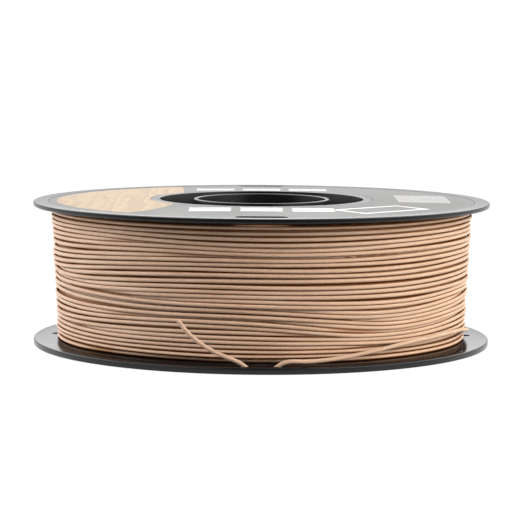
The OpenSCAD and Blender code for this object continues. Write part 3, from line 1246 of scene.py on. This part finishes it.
@dataclass
class Flange:
    """A moulded flange: rounded rim, seat that rises to the lip of the recess, and a spigot for the drum."""

    side: Side
    radius: float = 100 * MM
    thickness: float = 3 * MM
    upper_rim: float = 1.9 * MM
    lower_rim: float = 2.6 * MM
    taper_r: float = 94 * MM
    rim_round: float = 0.5 * MM
    rim_faces: int = 5
    seat_r: float = 93.5 * MM
    seat_depth: float = 0.3 * MM
    lip_r: float = 48.7 * MM
    lip_rise: float = 0.8 * MM
    lip_round: float = 0.2 * MM
    lip_faces: int = 2
    recess_r: float = 44.7 * MM
    spigot_r: float = 46.1 * MM
    spigot_length: float = 8 * MM
    upper_slot: Pair = (21 * MM, 6 * MM)
    upper_slot_r: float = 90.2 * MM
    lower_slot: Pair = (21 * MM, 5 * MM)
    lower_slot_r: float = 82 * MM
    tie_hole: Pair = (5.4 * MM, 2.55 * MM)
    tie_r: float = 95 * MM
    tie_spacing: float = 12.8 * MM
    tie_groove: float = 2 * MM
    overcut: float = 1 * MM

    def __post_init__(self) -> None:
        """Takes the levels of the faces from the frame."""
        low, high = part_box("winding_drum")
        upper = self.side is Side.UPPER
        self.out = self.side.value
        self.inner_z = high.z if upper else low.z
        self.outer_z = self.inner_z + self.out * self.thickness
        self.rim = self.upper_rim if upper else self.lower_rim
        self.lip_z = self.outer_z + self.out * self.lip_rise
        self.spigot_z = self.inner_z - self.out * self.spigot_length

    def _turned(self) -> Piece:
        """Models the flange without its slots and holes.

        Returns:
            The flange.
        """
        low, high = sorted((self.outer_z - self.out * self.rim, self.outer_z))
        piece = Bench.disc(f"{self.side.name.lower()}_flange_moulding", self.radius, low, high)
        with Bench.editing(piece):
            Bench.pick_edges(piece, lambda one, two: abs(one.z - two.z) < Bench.CLOSE)
            Bench.round_over(self.rim_round, self.rim_faces)
            Bench.pick_cap(piece, self.out)
            Bench.step_in(self.radius - self.rim_round - self.seat_r)
            Bench.rise(-self.out * self.seat_depth)
            Bench.step_in(self.seat_r - self.lip_r)
            Bench.shift(self.out * self.lip_rise)
            Bench.rise(self.out * self.seat_depth)
            Bench.step_in(self.lip_r - self.recess_r)
            Bench.pick_cap(piece, -self.out)
            Bench.step_in(self.radius - self.rim_round - self.taper_r)
            Bench.shift(-self.out * (self.thickness - self.rim))
            Bench.step_in(self.taper_r - self.spigot_r)
            Bench.rise(-self.out * self.spigot_length)
            Bench.step_in(self.spigot_r - self.recess_r)
            Bench.bore_through(piece, *sorted((self.spigot_z, self.lip_z)))
            for radius in (self.lip_r, self.recess_r):
                Bench.pick_circle(piece, radius, self.lip_z)
                Bench.round_over(self.lip_round, self.lip_faces)
            Bench.make_sound()
        return piece

    def _cut_upper(self, piece: Piece) -> None:
        """Cuts the slots along the rim, at the front and the back.

        Args:
            piece: The upper flange.
        """
        low = self.inner_z - self.overcut
        high = self.outer_z + self.overcut
        for y in (-self.upper_slot_r, self.upper_slot_r):
            Bench.cut_slot(piece, (0, y), self.upper_slot, low, high)

    def _cut_lower(self, piece: Piece) -> None:
        """Cuts the slots at the left and right, the groove between the tie holes, and the tie holes.

        Args:
            piece: The lower flange.
        """
        low = self.outer_z - self.overcut
        high = self.inner_z + self.overcut
        for x in (-self.lower_slot_r, self.lower_slot_r):
            Bench.cut_slot(piece, (x, 0), self.lower_slot, low, high)
        length, width = self.tie_hole
        groove = (self.tie_spacing + length, width)
        Bench.cut_slot(piece, (0, -self.tie_r), groove, low, self.outer_z + self.tie_groove)
        for x in (-self.tie_spacing / 2, self.tie_spacing / 2):
            Bench.cut_slot(piece, (x, -self.tie_r), self.tie_hole, low, high)

    def build(self, material: Finish) -> Piece:
        """Models the flange.

        Args:
            material: Finish of the plastic.

        Returns:
            The flange.
        """
        piece = self._turned()
        cut = self._cut_upper if self.side is Side.UPPER else self._cut_lower
        cut(piece)
        Bench.smooth(piece)
        return dress(piece, material, f"{self.side.name.lower()}_flange")


@dataclass
class Hub:
    """The bore tube with its ribs, and the drum round them."""

    bore_r: float = 28 * MM
    tube_r: float = 29.8 * MM
    tube_sides: int = 128
    edge_round: float = 0.4 * MM
    edge_faces: int = 3
    rib_count: int = 6
    rib_thickness: float = 2 * MM
    rib_round: float = 0.3 * MM
    rib_faces: int = 2
    rib_end_r: float = 46.1 * MM
    rib_low: float = 11.9 * MM
    rib_high: float = 52.2 * MM

    def _tube(self) -> Piece:
        """Models the bore tube.

        Returns:
            The tube.
        """
        low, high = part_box("bore_hub")
        piece = Bench.disc("ribbed_bore_tube", self.tube_r, low.z, high.z, self.tube_sides)
        with Bench.editing(piece):
            Bench.hollow(piece, self.tube_r - self.bore_r, low.z, high.z)
            for radius in (self.tube_r, self.bore_r):
                for height in (low.z, high.z):
                    Bench.pick_circle(piece, radius, height)
                    Bench.round_over(self.edge_round, self.edge_faces)
            Bench.make_sound()
        return piece

    def _rib(self) -> Piece:
        """Models one rib, at the right of the tube.

        Returns:
            The rib.
        """
        inner = (self.bore_r + self.tube_r) / 2
        size = (self.rib_end_r - inner, self.rib_thickness, self.rib_high - self.rib_low)
        rib = Bench.block(size, ((inner + self.rib_end_r) / 2, 0, (self.rib_low + self.rib_high) / 2))
        with Bench.editing(rib):
            Bench.pick_edges(rib, lambda one, two: abs(one.x - two.x) > MM)
            Bench.round_over(self.rib_round, self.rib_faces)
            Bench.make_sound()
        return rib

    def build(self, material: Finish) -> Piece:
        """Models the bore tube and its ribs.

        Args:
            material: Finish of the plastic.

        Returns:
            The ribbed tube.
        """
        piece = self._tube()
        rib = self._rib()
        ribs = []
        for number in range(self.rib_count):
            copy = rib.copy()
            copy.data = rib.data.copy()
            bpy.context.scene.collection.objects.link(copy)
            copy.rotation_euler = (0, 0, math.pi / 2 + math.tau * number / self.rib_count)
            Bench.settle(copy)
            ribs.append(copy)
        bpy.data.objects.remove(rib)
        Bench.take(piece)
        for copy in ribs:
            copy.select_set(True)
        bpy.ops.object.join()
        Bench.smooth(piece)
        return dress(piece, material, "bore_hub")

    def dress_drum(self, material: Finish) -> Piece:
        """Gives the drum, whose solid is right as it is, its finish.

        Args:
            material: Finish of the plastic.

        Returns:
            The drum's solid.
        """
        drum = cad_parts["winding_drum"]
        drum.data.materials.clear()
        drum.data.materials.append(material)
        LOG.info("dressed %s", drum.name)
        return drum


@dataclass
class RingLabel:
    """The ring label on the rising seat of the upper flange, cut out round the slots."""

    in_r: float = 48.9 * MM
    out_r: float = 93.3 * MM
    thickness: float = 0.25 * MM
    slope: float = 0.8 / 44.8
    slot: Pair = (21.4 * MM, 6.4 * MM)
    slot_r: float = 90.2 * MM
    overcut: float = 1 * MM

    def build(self, material: Finish) -> Piece:
        """Models the label.

        Args:
            material: Finish of the film.

        Returns:
            The label.
        """
        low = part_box("upper_label")[0].z
        high = low + self.thickness
        piece = Bench.disc("ring_label", self.out_r, low, high)
        with Bench.editing(piece):
            Bench.hollow(piece, self.out_r - self.in_r, low, high)
            inside = self.in_r + Bench.CLOSE
            Bench.pick_edges(piece, lambda one, two: max(one.xy.length, two.xy.length) < inside)
            Bench.shift(self.slope * (self.out_r - self.in_r))
            Bench.make_sound()
        for y in (-self.slot_r, self.slot_r):
            Bench.cut_slot(piece, (0, y), self.slot, low - self.overcut, high + self.overcut)
        Bench.smooth(piece)
        return dress(piece, material, "upper_label")


@dataclass(frozen=True)
class Lamp:
    """A square soft lamp that faces the spool, turned from the front to the right and raised."""

    name: str
    turn_deg: float
    rise_deg: float
    power: float
    tint: Point = (1.0, 1.0, 1.0)
    size: float = 1.2
    distance: float = 1.75

    def hang(self) -> None:
        """Hangs the lamp. Reflections don't show it."""
        light = bpy.data.lights.new(self.name, "AREA")
        light.shape = "SQUARE"
        light.size = self.size
        light.energy = self.power
        light.color = self.tint
        lamp = bpy.data.objects.new(self.name, light)
        bpy.context.scene.collection.objects.link(lamp)
        turn = math.radians(self.turn_deg)
        rise = math.radians(self.rise_deg)
        out = Vector((math.cos(rise) * math.sin(turn), -math.cos(rise) * math.cos(turn), math.sin(rise)))
        lamp.location = out * self.distance
        lamp.rotation_euler = out.to_track_quat("Z", "Y").to_euler()
        lamp.visible_glossy = False


@dataclass
class Studio:
    """Camera, white floor and surroundings, and soft lamps.

    A fade or an edge is the start and the width of a ramp, along a floor's place or a ray's direction.
    """

    focal_px: float = 2280.7
    frame_px: float = 520.0
    sensor: float = 36.0
    eye: Point = (-0.55 * MM, -1001.3 * MM, 138.74 * MM)
    pitch: float = 0.1014
    roll: float = 0.0054
    floor_size: float = 12.0
    floor_drop: float = 0.05 * MM
    floor_albedo: float = 0.3
    floor_level: float = 1.13
    floor_share: float = 0.9
    floor_fade: Pair = (-0.55, 0.5)
    painted_shadow_r: float = 60 * MM
    painted_shadow_edge: float = 4 * MM
    front_fade: Pair = (-0.8, 0.45)
    front_skew: float = 0.3
    front_level: float = 0.05
    horizon_level: float = 0.74
    wall_level: float = 1.75
    wall_edge: Pair = (0.12, 0.025)
    ceiling_edge: Pair = (0.45, 0.4)
    ceiling_dim: float = 0.75
    side_edge: Pair = (0.2, 0.3)
    side_rise: Pair = (0.25, 0.25)
    side_level: float = 1.8
    lateral_edge: Pair = (0.15, 0.2)
    lateral_level: float = 0.45
    mirror_gain: float = 2.0
    ambient: float = 0.06
    ambient_front: float = 0.4
    lamps: tuple[Lamp, ...] = (
        Lamp("left_lamp", -90, 22, 41.0, (0.99, 1.0, 1.05)),
        Lamp("right_front_lamp", 60, 22, 35.0, (1.07, 1.0, 0.96)),
        Lamp("right_lamp", 95, 22, 9.8, (0.97, 1.05, 0.95)),
        Lamp("front_lamp", 0, 52, 4.4, (1.2, 0.92, 0.86)),
        Lamp("back_lamp", 180, 35, 16.0),
    )

    def place_camera(self) -> None:
        """Puts the camera where the photograph was taken from."""
        lens = bpy.data.cameras.new("camera")
        lens.sensor_width = self.sensor
        lens.lens = self.focal_px * self.sensor / self.frame_px
        camera = bpy.data.objects.new("camera", lens)
        bpy.context.scene.collection.objects.link(camera)
        turn = Matrix.Rotation(math.pi / 2 - self.pitch, 4, "X") @ Matrix.Rotation(self.roll, 4, "Z")
        camera.matrix_world = Matrix.Translation(self.eye) @ turn
        bpy.context.scene.camera = camera

    def lay_floor(self) -> None:
        """Lays the white floor. It keeps a faint shadow.

        Reflections show it brighter, by the mirror gain, fading towards the front, and dark under the spool
        as a painted shadow.
        """
        Bench.clear()
        bpy.ops.mesh.primitive_plane_add(size=self.floor_size, location=(0, 0, -self.floor_drop))
        floor = bpy.context.object
        floor.name = "floor"
        material, graph = new_material("white_floor")
        place = graph.place()
        _, y, _ = graph.axes(place)
        # Painted shadow: under the spool the floor shows nothing in reflections
        under = graph.length(place).below(self.painted_shadow_r, self.painted_shadow_edge)
        glossy = graph.ray("Is Glossy Ray")
        reflected = y.ramp(*self.floor_fade).between(self.front_level, 1.0) * (1 - under)
        level = glossy * reflected * self.mirror_gain + (1 - glossy) * self.floor_level
        white = graph.node("ShaderNodeEmission", {}, {"Color": level})
        matt = graph.matt((self.floor_albedo, self.floor_albedo, self.floor_albedo, 1.0))
        graph.finish(graph.blend(graph.seen() * self.floor_share, matt, white))
        floor.data.materials.append(material)

    def surround(self) -> None:
        """Makes the surroundings: white to the camera.

        Reflections show them brighter, by the mirror gain, but dim in front of the spool.
        """
        world = bpy.data.worlds.new("studio")
        bpy.context.scene.world = world
        world.use_nodes = True
        graph = Graph(world.node_tree)
        x, y, z = graph.axes(graph.node("ShaderNodeTexCoord", output="Generated"))
        fade = (y + x * self.front_skew).ramp(*self.front_fade)
        wall = z.ramp(*self.wall_edge).between(self.horizon_level, self.wall_level)
        ceiling = 1 - z.ramp(*self.ceiling_edge) * self.ceiling_dim
        lateral = abs(x).ramp(*self.lateral_edge).between(1.0, self.lateral_level)
        sides = abs(x).ramp(*self.side_edge) * z.ramp(*self.side_rise) * self.side_level
        reflected = fade.between(self.front_level, 1.0) * wall * ceiling * lateral + sides
        glossy = graph.ray("Is Glossy Ray")
        shown = glossy * reflected * self.mirror_gain + (1 - glossy)
        seen = graph.seen()
        strength = seen * shown + (1 - seen) * fade.between(self.ambient_front, 1.0) * self.ambient
        background = graph.node("ShaderNodeBackground", {}, {"Color": WHITE, "Strength": strength})
        graph.finish(background, "ShaderNodeOutputWorld")

    def light(self) -> None:
        """Hangs the lamps: two at the right, one at the left, and weaker ones in front and behind."""
        for lamp in self.lamps:
            lamp.hang()


def main() -> None:
    """Builds the spool and its studio."""
    logging.basicConfig(level=logging.INFO, format="%(name)s: %(message)s")
    bpy.context.scene.view_settings.view_transform = "Standard"
    plastic = SpoolPlastic().make()
    filament = WoodFilament().make()
    film = LabelFilm().make()
    studio = Studio()
    studio.place_camera()
    tail = Tail()
    tail.build(filament)
    winding = Winding(tail)
    winding.build_core(filament)
    winding.build_layer(filament)
    Flange(Side.LOWER).build(plastic)
    Flange(Side.UPPER).build(plastic)
    hub = Hub()
    hub.build(plastic)
    hub.dress_drum(plastic)
    RingLabel().build(film)
    studio.lay_floor()
    studio.surround()
    studio.light()


if __name__ == "__main__":
    main()
